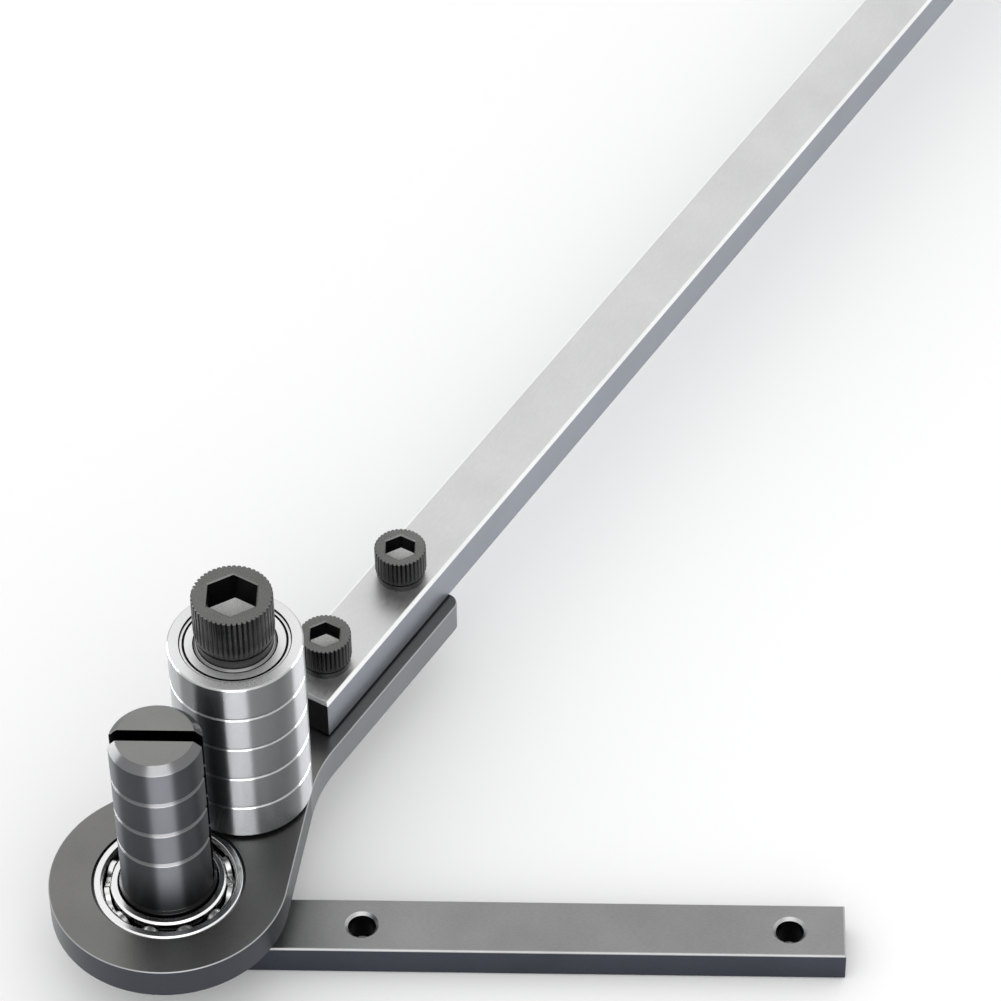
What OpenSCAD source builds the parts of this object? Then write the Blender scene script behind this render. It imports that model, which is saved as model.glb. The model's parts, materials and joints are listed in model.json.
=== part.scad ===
// Manual bar bender. A slotted post stands on a flat base bar. An arm plate turns about the
// post on a ball bearing and carries a stack of rollers and a long flat handle. Flat bar or
// rod goes between the post and the rollers, or into the slot, and is bent round the post.
// Z is up, the base bar lies along X, and the origin is on the post's axis at the bar's underside.

/* [Base bar] */
// Length of the base bar
base_l = 216.5; // [190:0.5:400]
// Width of the base bar
base_w = 19.5; // [16:0.5:40]
// Thickness of the base bar
base_t = 10.5; // [6:0.5:20]
// Length of the base bar behind the post's axis
base_tail = 16; // [8:0.5:30]
// Bevel on the base bar's long edges and ends
base_bevel = 0.6; // [0.2:0.1:1.5]
// Diameter of the bench bolt holes
bench_hole_d = 8.4; // [5:0.1:11]
// Depth and width of the chamfer at the top of each bench bolt hole
bench_hole_chamfer = 0.9; // [0.2:0.1:2]
// Distance from the post's axis to the nearer bench bolt hole
bench_hole_x = 56.5; // [45:0.5:65]
// Distance between the two bench bolt holes
bench_hole_pitch = 127.5; // [60:0.5:130]

/* [Post] */
// Height of the post above the arm plate
post_h = 63.5; // [55:0.5:90]
// How much thinner the working post is than the bearing seat below it
post_relief = 1.5; // [0.2:0.1:2]
// Bevel round the top of the post
post_bevel = 2.3; // [0.5:0.1:4]
// Width of the slot that grips the strip
slot_w = 4; // [2:0.1:8]
// Height of the slot's floor above the arm plate
slot_floor = 2; // [1:0.5:40]
// Height of the lowest turned ring above the arm plate
ring_h = 22.2; // [8:0.1:24]
// Distance between the turned rings
ring_pitch = 13.2; // [4:0.1:14]
// Number of turned rings
ring_count = 3; // [1:1:3]
// Width of a turned ring
ring_w = 1.6; // [0.6:0.1:3]
// Depth of a turned ring
ring_depth = 0.8; // [0.3:0.1:1.5]
// Height of the bearing seat that shows above the bearing
seat_rise = 1; // [0.5:0.1:6]
// Diameter of the flange under the bearing's inner ring
flange_d = 33; // [30:0.5:34]
// Diameter of the stud that holds the post in the base bar
stud_d = 12; // [8:0.5:15]

/* [Centre bearing] */
// Bore of the bearing
centre_bore_d = 29; // [26:0.1:29.5]
// Outer diameter of the bearing
centre_outer_d = 45; // [44:0.1:50]
// Width of the bearing
centre_w = 9; // [8:0.1:9.5]
// Diameter of the inner ring's shoulder
centre_inner_land_d = 34.4; // [34:0.1:34.8]
// Inner diameter of the outer ring's shoulder
centre_outer_land_d = 39.2; // [38.8:0.1:39.6]
// Diameter of a ball
centre_ball_d = 5.2; // [4.6:0.1:6]
// Number of balls
centre_balls_n = 11; // [7:1:12]

/* [Arm plate] */
// Thickness of the arm plate
plate_t = 10.5; // [9.8:0.1:16]
// Height of the arm plate's underside above the base bar
plate_lift = 9.5; // [2:0.5:20]
// Diameter of the plate's round head
head_d = 71; // [60:0.5:90]
// Width of the plate's straight tongue
tongue_w = 28.5; // [24:0.5:34]
// Distance from the post's axis to the tongue's end
tongue_end = 141; // [139:0.5:200]
// Radius of the tongue's end corners
tongue_corner_r = 4; // [1:0.5:8]
// Angle between the neck's edge and the tongue's edge
neck_angle = 22.5; // [18:0.5:30]
// Radius where the neck's edge runs into the tongue's edge
neck_r = 50; // [20:1:80]
// Inner diameter of the lip that carries the bearing's outer ring
lip_d = 41; // [40.4:0.1:43]

/* [Handle] */
// Distance from the post's axis to the handle's near end
handle_start = 71.5; // [65:0.5:78]
// Length of the handle bar
handle_l = 520; // [200:5:900]
// Width of the handle bar
handle_w = 20.5; // [18:0.5:30]
// Thickness of the handle bar
handle_t = 14.5; // [8:0.5:20]
// Bevel on the handle bar's edges
handle_bevel = 1; // [0.3:0.1:2]

/* [Rollers] */
// Distance from the post's axis to the rollers' axis
roller_x = 41.5; // [39:0.5:43]
// Outer diameter of a roller
roller_d = 40; // [37.6:0.1:42]
// Width of a roller
roller_w = 12.6; // [11:0.1:15]
// Bore of a roller
roller_bore_d = 17; // [16.2:0.1:18]
// Diameter of a roller's inner ring at its shoulder
roller_inner_land_d = 24.4; // [23.8:0.1:25]
// Inner diameter of a roller's outer ring at its shoulder
roller_outer_land_d = 31.8; // [31:0.1:32]
// Diameter of a roller's ball
roller_ball_d = 6.8; // [6:0.1:7.2]
// Number of balls in a roller
roller_balls_n = 8; // [5:1:9]
// Diameter of the seat for a roller's shields
shield_seat_d = 32.6; // [32.4:0.1:33.2]
// Thickness of a shield
shield_t = 0.6; // [0.4:0.1:0.8]
// How far a shield lies below the roller's face
shield_recess = 0.6; // [0.2:0.1:0.8]
// Thickness of the shims between the rollers' inner rings
shim_t = 0.3; // [0.2:0.05:1]
// Thickness of the washer under the lowest roller
foot_washer_t = 1; // [0.5:0.1:3]
// Outer diameter of the shims and washers on the roller screw
washer_d = 23; // [21:0.1:23.6]

/* [Screws] */
// Thread diameter of the roller screw
roller_screw_d = 16; // [12:0.5:16]
// Head diameter of the roller screw
roller_screw_head_d = 24; // [20:0.5:28]
// Head height of the roller screw
roller_screw_head_h = 16; // [12:0.5:20]
// Width across the flats of the roller screw's socket
roller_screw_socket = 14.5; // [10:0.5:16]
// Number of flutes round the roller screw's head
roller_screw_flutes = 48; // [24:1:60]
// Thickness of the lock washer under the roller screw's head
roller_lock_t = 3.2; // [1:0.1:5]
// Thread diameter of the handle screws
handle_screw_d = 10; // [6:0.5:12]
// Head diameter of the handle screws
handle_screw_head_d = 16; // [13:0.5:18]
// Head height of the handle screws
handle_screw_head_h = 10; // [8:0.5:14]
// Width across the flats of the handle screws' sockets
handle_screw_socket = 9; // [5:0.5:10]
// Number of flutes round a handle screw's head
handle_screw_flutes = 36; // [24:1:48]
// Thickness of the lock washers under the handle screws' heads
handle_lock_t = 2; // [1:0.1:4]
// Distance from the post's axis to the nearer handle screw
handle_screw_x = 86.5; // [84:0.5:92]
// Distance between the two handle screws
handle_screw_pitch = 42.5; // [30:0.5:44]
// Depth of the flutes in the screw heads
flute_depth = 0.5; // [0.2:0.05:0.8]
// Bevel round the top of a screw head
head_bevel = 0.4; // [0.2:0.1:1]
// Bevel at the end of a thread
thread_bevel = 1; // [0.3:0.1:2]
// Width of the split in a lock washer
lock_split = 1.5; // [0.5:0.1:3]

/* [Pose] */
// Angle of the arm from the base bar
arm_angle = 60; // [0:1:359]

/* [Hidden] */
// Clearance of a screw in the hole that it passes through
screw_clearance = 0.5;
// Running clearance of the balls in their grooves and cages
ball_clearance = 0.1;
// Clearance between parts that turn past each other
turning_clearance = 0.3;
// Thickness of the pressed cage strip
cage_strip = 0.6;
// Bevel on the bearing rings' edges
bearing_bevel = 0.6;
// Depth below a face at which a lock washer's outer edge starts
lock_rim = 0.5;
// How far every cut runs past the solid that it cuts
overrun = 1;
// Smoothness of round solids
smooth = 96;
ball_smooth = 48;
// Largest share of a ring's wall that its bevel may take
ring_bevel_share = 0.3;
// Share of a head's height that stays plain below its flutes
plain_share = 0.16;
// Share of a head's height that its socket takes
socket_depth_share = 0.5;
// Height of the drill point under a socket, as a share of the socket's radius
socket_point_share = 0.5;
// Height of the lead-in at a socket's mouth, as a share of the socket's radius
socket_bevel_share = 0.2;
// Turn that brings a hexagon's flats square to X
hex_turn = 30;

plate_z = base_t + plate_lift;
plate_top = plate_z + plate_t;
bearing_z = plate_top - centre_w;
seat_d = centre_bore_d;
post_d = seat_d - post_relief;
post_top = plate_top + post_h;
stack_z = plate_top + foot_washer_t;
roller_pitch = roller_w + shim_t;
roller_count = 5;
stack_top = stack_z + roller_count * roller_w + (roller_count - 1) * shim_t;
roller_head_z = stack_top + roller_lock_t;
handle_top = plate_top + handle_t;
handle_head_z = handle_top + handle_lock_t;
handle_screw_xs = [handle_screw_x, handle_screw_x + handle_screw_pitch];
bench_hole_xs = [bench_hole_x, bench_hole_x + bench_hole_pitch];
centre_pitch_r = (centre_inner_land_d + centre_outer_land_d) / 4;
roller_pitch_r = (roller_inner_land_d + roller_outer_land_d) / 4;
shield_inner_d = roller_inner_land_d + 2 * turning_clearance;
roller_lock_d = washer_d;
handle_lock_d = handle_screw_head_d - 2 * lock_rim;

// Everything on the arm is drawn with the arm along X, then turned to its rest angle
module on_arm() {
    rotate([0, 0, arm_angle]) children();
}

// Places its children at the rollers' axis, at the underside of roller number i, counted from 1
module at_roller(i) {
    on_arm() translate([roller_x, 0, stack_z + (i - 1) * roller_pitch]) children();
}

// A rectangle from x0 to x1 and 0 to h with bevelled corners
module bevelled_rectangle(x0, x1, h, bevel) {
    polygon([
        [x0 + bevel, 0], [x1 - bevel, 0], [x1, bevel], [x1, h - bevel],
        [x1 - bevel, h], [x0 + bevel, h], [x0, h - bevel], [x0, bevel]
    ]);
}

// A flat bar from x = 0 to l, centred on Y, on z = 0, with every long edge and both ends bevelled
module flat_bar(l, w, t, bevel) {
    intersection() {
        rotate([90, 0, 90]) linear_extrude(l) bevelled_rectangle(-w / 2, w / 2, t, bevel);
        translate([0, w / 2, 0]) rotate([90, 0, 0]) linear_extrude(w) bevelled_rectangle(0, l, t, bevel);
    }
}

// A bearing ring between two radii, with a ball groove centred at groove_r
module bearing_ring(inner_r, outer_r, w, groove_r, ball_d) {
    bevel = min(bearing_bevel, (outer_r - inner_r) * ring_bevel_share);
    rotate_extrude($fn = smooth) difference() {
        bevelled_rectangle(inner_r, outer_r, w, bevel);
        translate([groove_r, w / 2]) circle(d = ball_d + 2 * ball_clearance, $fn = ball_smooth);
    }
}

// Balls evenly round a pitch circle, centred in a bearing of width w
module ball_row(n, pitch_r, ball_d, w) {
    for (i = [0 : n - 1])
        rotate([0, 0, i * 360 / n])
            translate([pitch_r, 0, w / 2])
                sphere(d = ball_d, $fn = ball_smooth);
}

// A pressed ribbon cage: a thin ring that swells into a hoop round each ball
module ribbon_cage(n, pitch_r, ball_d, inner_land_d, outer_land_d, w) {
    pocket_r = ball_d / 2 + ball_clearance;
    hoop_r = pocket_r + cage_strip;
    inner_r = inner_land_d / 2 + turning_clearance;
    outer_r = outer_land_d / 2 - turning_clearance;
    hoop_end = sqrt(pow(outer_r, 2) - pow(hoop_r, 2));
    difference() {
        union() {
            translate([0, 0, w / 2 - cage_strip]) ring(inner_r, outer_r, 2 * cage_strip);
            spokes(n, inner_r + cage_strip / 2, hoop_end, hoop_r, w);
        }
        spokes(n, inner_r - overrun, outer_r + overrun, pocket_r, w);
    }
}

// Round rods that point out from the axis, from start_r to end_r, centred in a width w
module spokes(n, start_r, end_r, rod_r, w) {
    for (i = [0 : n - 1])
        rotate([0, 0, i * 360 / n])
            translate([start_r, 0, w / 2])
                rotate([0, 90, 0])
                    cylinder(r = rod_r, h = end_r - start_r, $fn = ball_smooth);
}

// A plain ring between two radii
module ring(inner_r, outer_r, h) {
    difference() {
        cylinder(r = outer_r, h = h, $fn = smooth);
        translate([0, 0, -overrun]) cylinder(r = inner_r, h = h + 2 * overrun, $fn = smooth);
    }
}

// A split lock washer, its split towards +Y
module lock_washer(bore_d, outer_d, t) {
    difference() {
        ring(bore_d / 2, outer_d / 2, t);
        translate([-lock_split / 2, 0, -overrun]) cube([lock_split, outer_d, t + 2 * overrun]);
    }
}

// The outline of a fluted screw head
module fluted_circle(d, flutes) {
    polygon([
        for (i = [0 : 2 * flutes - 1])
            let (r = i % 2 == 0 ? d / 2 : d / 2 - flute_depth, a = i * 180 / flutes)
                [r * cos(a), r * sin(a)]
    ]);
}

// A socket-head screw, its head's underside at z = 0 and its thread pointing down
module socket_screw(thread_d, thread_l, head_d, head_h, socket, flutes) {
    socket_depth = head_h * socket_depth_share;
    socket_r = socket / 2 / cos(hex_turn);
    point_h = socket_r * socket_point_share;
    mouth_h = socket_r * socket_bevel_share;
    crown_d = head_d - 2 * flute_depth - head_bevel;
    plain_h = head_h * plain_share;
    difference() {
        union() {
            translate([0, 0, plain_h])
                linear_extrude(head_h - head_bevel - plain_h) fluted_circle(head_d, flutes);
            rotate_extrude($fn = smooth) polygon([
                [0, -thread_l], [thread_d / 2 - thread_bevel, -thread_l],
                [thread_d / 2, -thread_l + thread_bevel], [thread_d / 2, 0],
                [crown_d / 2 - head_bevel, 0], [crown_d / 2, head_bevel],
                [crown_d / 2, head_h - head_bevel],
                [crown_d / 2 - head_bevel, head_h], [0, head_h]
            ]);
        }
        translate([0, 0, head_h - socket_depth]) rotate([0, 0, hex_turn])
            cylinder(r = socket_r, h = socket_depth + overrun, $fn = 6);
        translate([0, 0, head_h - socket_depth - point_h])
            cylinder(d1 = 0, d2 = socket, h = point_h, $fn = smooth);
        translate([0, 0, head_h - mouth_h])
            cylinder(d1 = socket, d2 = socket + 2 * mouth_h, h = mouth_h, $fn = smooth);
    }
}

module base_bar() {
    color("dimgray") difference() {
        translate([-base_tail, 0, 0]) flat_bar(base_l, base_w, base_t, base_bevel);
        translate([0, 0, -overrun]) cylinder(d = stud_d, h = base_t + 2 * overrun, $fn = smooth);
        for (x = bench_hole_xs) translate([x, 0, 0]) {
            translate([0, 0, -overrun]) cylinder(d = bench_hole_d, h = base_t + 2 * overrun, $fn = smooth);
            translate([0, 0, base_t - bench_hole_chamfer])
                cylinder(d1 = bench_hole_d, d2 = bench_hole_d + 4 * bench_hole_chamfer,
                    h = 2 * bench_hole_chamfer, $fn = smooth);
        }
    }
}

// Stud in the base bar, flange, bearing seat and the ringed, slotted working post, all turned in one
module post() {
    seat_top = plate_top + seat_rise;
    color("darkslategray") difference() {
        rotate_extrude($fn = smooth) polygon([
            [0, 0], [stud_d / 2, 0], [stud_d / 2, base_t], [flange_d / 2, base_t],
            [flange_d / 2, bearing_z], [seat_d / 2, bearing_z], [seat_d / 2, seat_top],
            [post_d / 2, seat_top + seat_d / 2 - post_d / 2],
            for (i = [0 : ring_count - 1], step = [-1, 0, 1])
                [post_d / 2 - (step == 0 ? ring_depth : 0),
                    plate_top + ring_h + i * ring_pitch + step * ring_w / 2],
            [post_d / 2, post_top - post_bevel], [post_d / 2 - post_bevel, post_top], [0, post_top]
        ]);
        translate([-seat_d / 2 - overrun, -slot_w / 2, plate_top + slot_floor])
            cube([seat_d + 2 * overrun, slot_w, post_h]);
    }
}

module centre_inner_ring() {
    color("silver") translate([0, 0, bearing_z])
        bearing_ring(centre_bore_d / 2, centre_inner_land_d / 2, centre_w, centre_pitch_r, centre_ball_d);
}

module centre_outer_ring() {
    color("silver") on_arm() translate([0, 0, bearing_z])
        bearing_ring(centre_outer_land_d / 2, centre_outer_d / 2, centre_w, centre_pitch_r, centre_ball_d);
}

module centre_cage() {
    color("gainsboro") on_arm() translate([0, 0, bearing_z])
        ribbon_cage(centre_balls_n, centre_pitch_r, centre_ball_d, centre_inner_land_d,
            centre_outer_land_d, centre_w);
}

module centre_balls() {
    color("white") on_arm() translate([0, 0, bearing_z])
        ball_row(centre_balls_n, centre_pitch_r, centre_ball_d, centre_w);
}

// The fillet between the neck's edge and the tongue's edge, on the +Y side
module neck_fillet(corner_x) {
    reach = neck_r * tan(neck_angle / 2);
    difference() {
        linear_extrude(plate_t) polygon([
            [corner_x, tongue_w / 2 - overrun], [corner_x + reach, tongue_w / 2],
            [corner_x - reach * cos(neck_angle), tongue_w / 2 + reach * sin(neck_angle)]
        ]);
        translate([corner_x + reach, tongue_w / 2 + neck_r, -overrun])
            cylinder(r = neck_r, h = plate_t + 2 * overrun, $fn = smooth);
    }
}

// The arm plate before its holes: round head, tapered neck, straight tongue with rounded corners
module arm_blank() {
    touch = head_d / 2 * [sin(neck_angle), cos(neck_angle)];
    corner_x = (head_d / 2 / cos(neck_angle) - tongue_w / 2) / tan(neck_angle);
    cylinder(d = head_d, h = plate_t, $fn = smooth);
    linear_extrude(plate_t) polygon([
        touch, [corner_x, tongue_w / 2], [tongue_end - tongue_corner_r, tongue_w / 2],
        [tongue_end, tongue_w / 2 - tongue_corner_r], [tongue_end, tongue_corner_r - tongue_w / 2],
        [tongue_end - tongue_corner_r, -tongue_w / 2], [corner_x, -tongue_w / 2], [touch.x, -touch.y],
        [0, 0]
    ]);
    for (side = [0, 1]) mirror([0, side]) neck_fillet(corner_x);
    for (side = [-1, 1])
        translate([tongue_end - tongue_corner_r, side * (tongue_w / 2 - tongue_corner_r), 0])
            cylinder(r = tongue_corner_r, h = plate_t, $fn = smooth);
}

module arm_plate() {
    color("gray") on_arm() difference() {
        translate([0, 0, plate_z]) arm_blank();
        translate([0, 0, bearing_z]) cylinder(d = centre_outer_d, h = centre_w + overrun, $fn = smooth);
        translate([0, 0, plate_z - overrun]) cylinder(d = lip_d, h = plate_t, $fn = smooth);
        translate([roller_x, 0, plate_z - overrun])
            cylinder(d = roller_screw_d, h = plate_t + 2 * overrun, $fn = smooth);
        for (x = handle_screw_xs) translate([x, 0, plate_z - overrun])
            cylinder(d = handle_screw_d, h = plate_t + 2 * overrun, $fn = smooth);
    }
}

module handle_bar() {
    color("lightgray") on_arm() difference() {
        translate([handle_start, 0, plate_top]) flat_bar(handle_l, handle_w, handle_t, handle_bevel);
        for (x = handle_screw_xs) translate([x, 0, plate_top - overrun])
            cylinder(d = handle_screw_d + screw_clearance, h = handle_t + 2 * overrun, $fn = smooth);
    }
}

module handle_screws() {
    color("black") on_arm() for (x = handle_screw_xs) translate([x, 0, handle_head_z])
        socket_screw(handle_screw_d, handle_head_z - plate_z, handle_screw_head_d,
            handle_screw_head_h, handle_screw_socket, handle_screw_flutes);
}

module handle_lock_washers() {
    color("black") on_arm() for (x = handle_screw_xs) translate([x, 0, handle_top])
        lock_washer(handle_screw_d + screw_clearance, handle_lock_d, handle_lock_t);
}

module roller_screw() {
    color("black") on_arm() translate([roller_x, 0, roller_head_z])
        socket_screw(roller_screw_d, roller_head_z - plate_z, roller_screw_head_d,
            roller_screw_head_h, roller_screw_socket, roller_screw_flutes);
}

module roller_lock_washer() {
    color("black") on_arm() translate([roller_x, 0, stack_top])
        lock_washer(roller_bore_d, roller_lock_d, roller_lock_t);
}

module roller_foot_washer() {
    color("silver") on_arm() translate([roller_x, 0, plate_top])
        ring(roller_bore_d / 2, washer_d / 2, foot_washer_t);
}

module roller_shims() {
    color("silver") for (i = [1 : roller_count - 1]) at_roller(i) translate([0, 0, roller_w])
        ring(roller_bore_d / 2, washer_d / 2, shim_t);
}

module roller_inner_ring(i) {
    color("silver") at_roller(i)
        bearing_ring(roller_bore_d / 2, roller_inner_land_d / 2, roller_w, roller_pitch_r, roller_ball_d);
}

module roller_outer_ring(i) {
    color("gainsboro") at_roller(i) difference() {
        bearing_ring(roller_outer_land_d / 2, roller_d / 2, roller_w, roller_pitch_r, roller_ball_d);
        for (z = [-overrun, roller_w - shield_recess - shield_t])
            translate([0, 0, z])
                cylinder(d = shield_seat_d, h = shield_recess + shield_t + overrun, $fn = smooth);
    }
}

module roller_shields(i) {
    color("white") at_roller(i) for (z = [shield_recess, roller_w - shield_recess - shield_t])
        translate([0, 0, z]) ring(shield_inner_d / 2, shield_seat_d / 2, shield_t);
}

module roller_balls(i) {
    color("white") at_roller(i) ball_row(roller_balls_n, roller_pitch_r, roller_ball_d, roller_w);
}

module roller_cage(i) {
    color("gainsboro") at_roller(i)
        ribbon_cage(roller_balls_n, roller_pitch_r, roller_ball_d, roller_inner_land_d,
            roller_outer_land_d, roller_w);
}

base_bar();
post();
centre_inner_ring();
centre_outer_ring();
centre_cage();
centre_balls();
arm_plate();
handle_bar();
handle_screws();
handle_lock_washers();
roller_screw();
roller_lock_washer();
roller_foot_washer();
roller_shims();
roller_inner_ring(1);  // roller_1_inner_ring
roller_inner_ring(2);  // roller_2_inner_ring
roller_inner_ring(3);  // roller_3_inner_ring
roller_inner_ring(4);  // roller_4_inner_ring
roller_inner_ring(5);  // roller_5_inner_ring
roller_outer_ring(1);  // roller_1_outer_ring
roller_outer_ring(2);  // roller_2_outer_ring
roller_outer_ring(3);  // roller_3_outer_ring
roller_outer_ring(4);  // roller_4_outer_ring
roller_outer_ring(5);  // roller_5_outer_ring
roller_shields(1);  // roller_1_shields
roller_shields(2);  // roller_2_shields
roller_shields(3);  // roller_3_shields
roller_shields(4);  // roller_4_shields
roller_shields(5);  // roller_5_shields
roller_balls(1);  // roller_1_balls
roller_balls(2);  // roller_2_balls
roller_balls(3);  // roller_3_balls
roller_balls(4);  // roller_4_balls
roller_balls(5);  // roller_5_balls
roller_cage(1);  // roller_1_cage
roller_cage(2);  // roller_2_cage
roller_cage(3);  // roller_3_cage
roller_cage(4);  // roller_4_cage
roller_cage(5);  // roller_5_cage
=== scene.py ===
import bmesh
import bpy
import json
import math
from mathutils import Matrix, Vector


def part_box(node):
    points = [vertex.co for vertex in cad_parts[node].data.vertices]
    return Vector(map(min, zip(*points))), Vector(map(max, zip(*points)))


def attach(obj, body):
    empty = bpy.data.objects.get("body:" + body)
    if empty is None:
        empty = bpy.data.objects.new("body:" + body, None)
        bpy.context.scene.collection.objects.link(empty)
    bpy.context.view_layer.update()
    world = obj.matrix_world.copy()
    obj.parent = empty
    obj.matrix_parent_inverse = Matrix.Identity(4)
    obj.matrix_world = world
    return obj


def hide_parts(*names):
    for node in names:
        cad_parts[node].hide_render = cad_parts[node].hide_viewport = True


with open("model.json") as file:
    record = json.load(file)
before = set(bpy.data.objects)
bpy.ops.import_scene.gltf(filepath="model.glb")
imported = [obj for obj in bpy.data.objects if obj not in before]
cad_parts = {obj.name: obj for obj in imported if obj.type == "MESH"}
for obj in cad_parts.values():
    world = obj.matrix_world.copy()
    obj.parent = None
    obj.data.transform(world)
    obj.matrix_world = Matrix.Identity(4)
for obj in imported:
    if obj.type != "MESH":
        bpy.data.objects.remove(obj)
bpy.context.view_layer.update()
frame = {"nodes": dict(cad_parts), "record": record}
mm = 0.001

# The view: a long lens, high over the bench and a little to the right of the post, looking
# down on the tool with the base bar running to the right and the handle out of the top.
camera_place = Vector((135.2, -883.6, 1087.0)) * mm
camera_turn = math.radians(-2.272)
camera_tilt = math.radians(45.373)
camera_roll = math.radians(-1.028)
sensor_width = 36.0
focal_length_in_pixels = 4657.9
image_width_in_pixels = 1001

ahead = Vector((math.sin(camera_turn) * math.cos(camera_tilt),
                math.cos(camera_turn) * math.cos(camera_tilt), -math.sin(camera_tilt)))
level_right = ahead.cross(Vector((0, 0, 1))).normalized()
level_up = level_right.cross(ahead)
right = level_right * math.cos(camera_roll) + level_up * math.sin(camera_roll)
up = level_up * math.cos(camera_roll) - level_right * math.sin(camera_roll)
camera_axes = Matrix((right, up, -ahead)).transposed().to_4x4()
lens = bpy.data.cameras.new("camera")
lens.sensor_width = sensor_width
lens.lens = sensor_width * (focal_length_in_pixels / image_width_in_pixels)
lens.clip_end = 50
camera = bpy.data.objects.new("camera", lens)
camera.matrix_world = Matrix.Translation(camera_place) @ camera_axes
bpy.context.scene.collection.objects.link(camera)
bpy.context.scene.camera = camera
bpy.context.scene.view_settings.view_transform = "Standard"

# The base bar: a length of flat steel, ground on top, with two chamfered holes for the bench
# bolts. Its top is lighter than its dark sides in painted light, its edges are a painted
# highlight, and the walls of its bolt holes are painted black for shade. The post is pressed into
# it at the origin.
base_low, base_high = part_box("base_bar")
base_top = base_high.z
base_bevel = 0.6 * mm
bolt_hole_radius = 4.2 * mm
bolt_hole_chamfer = 0.9 * mm
bolt_holes_x = (56.5 * mm, 184.0 * mm)
stud_radius = 6.0 * mm
edge_break = 0.12 * mm


# A shader node with its settings and its inputs, each a value or another node's output
def add_node(tree, kind, inputs=None, **settings):
    node = tree.nodes.new(kind)
    for name, value in settings.items():
        setattr(node, name, value)
    for socket, value in (inputs or {}).items():
        if isinstance(value, bpy.types.NodeSocket):
            tree.links.new(value, node.inputs[socket])
        else:
            node.inputs[socket].default_value = value
    return node


def ramp(tree, value, reach, low=0.0, high=1.0, shape="SMOOTHSTEP"):
    return add_node(tree, "ShaderNodeMapRange", {0: value, 1: reach[0], 2: reach[1], 3: low, 4: high},
                    interpolation_type=shape).outputs[0]


def calculate(tree, operation, *values):
    return add_node(tree, "ShaderNodeMath", dict(enumerate(values)), operation=operation).outputs[0]


def blend_colours(tree, share, first, second):
    return add_node(tree, "ShaderNodeMix", {0: share, 6: first, 7: second}, data_type="RGBA").outputs[2]


# How far a face looks upwards, from -1 to 1, where it turns from side to edge, from edge to
# top, from side to lower corner, and from underside to lower corner
edge_rise = (0.1, 0.4)
top_rise = (0.86, 0.99)
corner_rise = (-0.25, -0.5)
under_rise = (-0.95, -0.8)
# How far the painted shade darkens lower corners, and how dark the painted shade at a piece's foot gets
corner_shade = 0.92
foot_shade = 0.12
# A noise lies mostly in the first range, and the sum of two in the second
noise_range = (0.3, 0.7)
summed_range = (0.7, 1.3)
grain_size = 0.35 * mm
grain_depth = 0.02 * mm
clouds_per_metre = 45.0
roughness_spread = 0.15


# Steel whose top, edges and sides each take their own colour by how far a face looks upwards.
# This paints in light and shade: tops lighter, edges a painted highlight, sides darker, and its
# lower corners darker again as painted shade. The grain is a noise drawn out along the way the
# piece was ground, and lay turns it about Z. drawn_round says how strongly the gloss of a turned
# piece is drawn round it, and the last argument gives the two heights between which a painted
# shade fades out upwards.
def steel(name, top, edge, side, roughness, grain=(1, 1, 1), mottle=0.12, bump=0.25, drawn_round=0.0,
          lay=0.0, shade_heights=None):
    material = bpy.data.materials.new(name)
    material.use_nodes = True
    tree = material.node_tree
    tree.nodes.clear()
    place = add_node(tree, "ShaderNodeTexCoord").outputs["Object"]
    place = add_node(tree, "ShaderNodeVectorRotate", {"Vector": place, "Angle": -lay},
                     rotation_type="Z_AXIS").outputs[0]
    along = add_node(tree, "ShaderNodeMapping", {"Vector": place, "Scale": grain}).outputs[0]
    fine = add_node(tree, "ShaderNodeTexNoise",
                    {"Vector": along, "Scale": 1 / grain_size, "Detail": 3.0}).outputs[0]
    cloud = add_node(tree, "ShaderNodeTexNoise",
                     {"Vector": place, "Scale": clouds_per_metre, "Detail": 4.0}).outputs[0]
    normal = add_node(tree, "ShaderNodeNewGeometry").outputs["Normal"]
    rise = add_node(tree, "ShaderNodeSeparateXYZ", {0: normal}).outputs["Z"]
    # Painted light and shade: tops lighter and sides darker for the light that falls on each, edges lighter
    # again as a painted highlight
    low_shade = blend_colours(tree, ramp(tree, rise, edge_rise), (*side, 1), (*edge, 1))
    shade = blend_colours(tree, ramp(tree, rise, top_rise), low_shade, (*top, 1))
    spread = ramp(tree, calculate(tree, "ADD", fine, cloud), summed_range, 1 - mottle, 1 + mottle, "LINEAR")
    # Down-facing lower corners are darkened: painted shade under the piece
    under_shade = calculate(tree, "MULTIPLY", ramp(tree, rise, corner_rise), ramp(tree, rise, under_rise))
    unshaded = calculate(tree, "MULTIPLY_ADD", under_shade, -corner_shade, 1.0)
    strength = calculate(tree, "MULTIPLY", spread, unshaded)
    # Between two given heights the colour darkens towards the bottom: painted shade
    if shade_heights:
        height = add_node(tree, "ShaderNodeSeparateXYZ", {0: place}).outputs["Z"]
        strength = calculate(tree, "MULTIPLY", strength, ramp(tree, height, shade_heights, foot_shade))
    colour = add_node(tree, "ShaderNodeVectorMath", {0: shade, "Scale": strength}, operation="SCALE")
    dull = ramp(tree, fine, noise_range, roughness * (1 - roughness_spread),
                roughness * (1 + roughness_spread), "LINEAR")
    relief = add_node(tree, "ShaderNodeBump", {"Strength": bump, "Distance": grain_depth, "Height": fine})
    shader = add_node(tree, "ShaderNodeBsdfPrincipled", {
        "Base Color": colour.outputs[0], "Metallic": 1.0, "Roughness": dull,
        "Anisotropic": drawn_round, "Anisotropic Rotation": 0.25, "Normal": relief.outputs[0]})
    if drawn_round:
        around = add_node(tree, "ShaderNodeTangent", direction_type="RADIAL", axis="Z")
        tree.links.new(around.outputs[0], shader.inputs["Tangent"])
    add_node(tree, "ShaderNodeOutputMaterial", {0: shader.outputs[0]})
    return material


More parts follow.
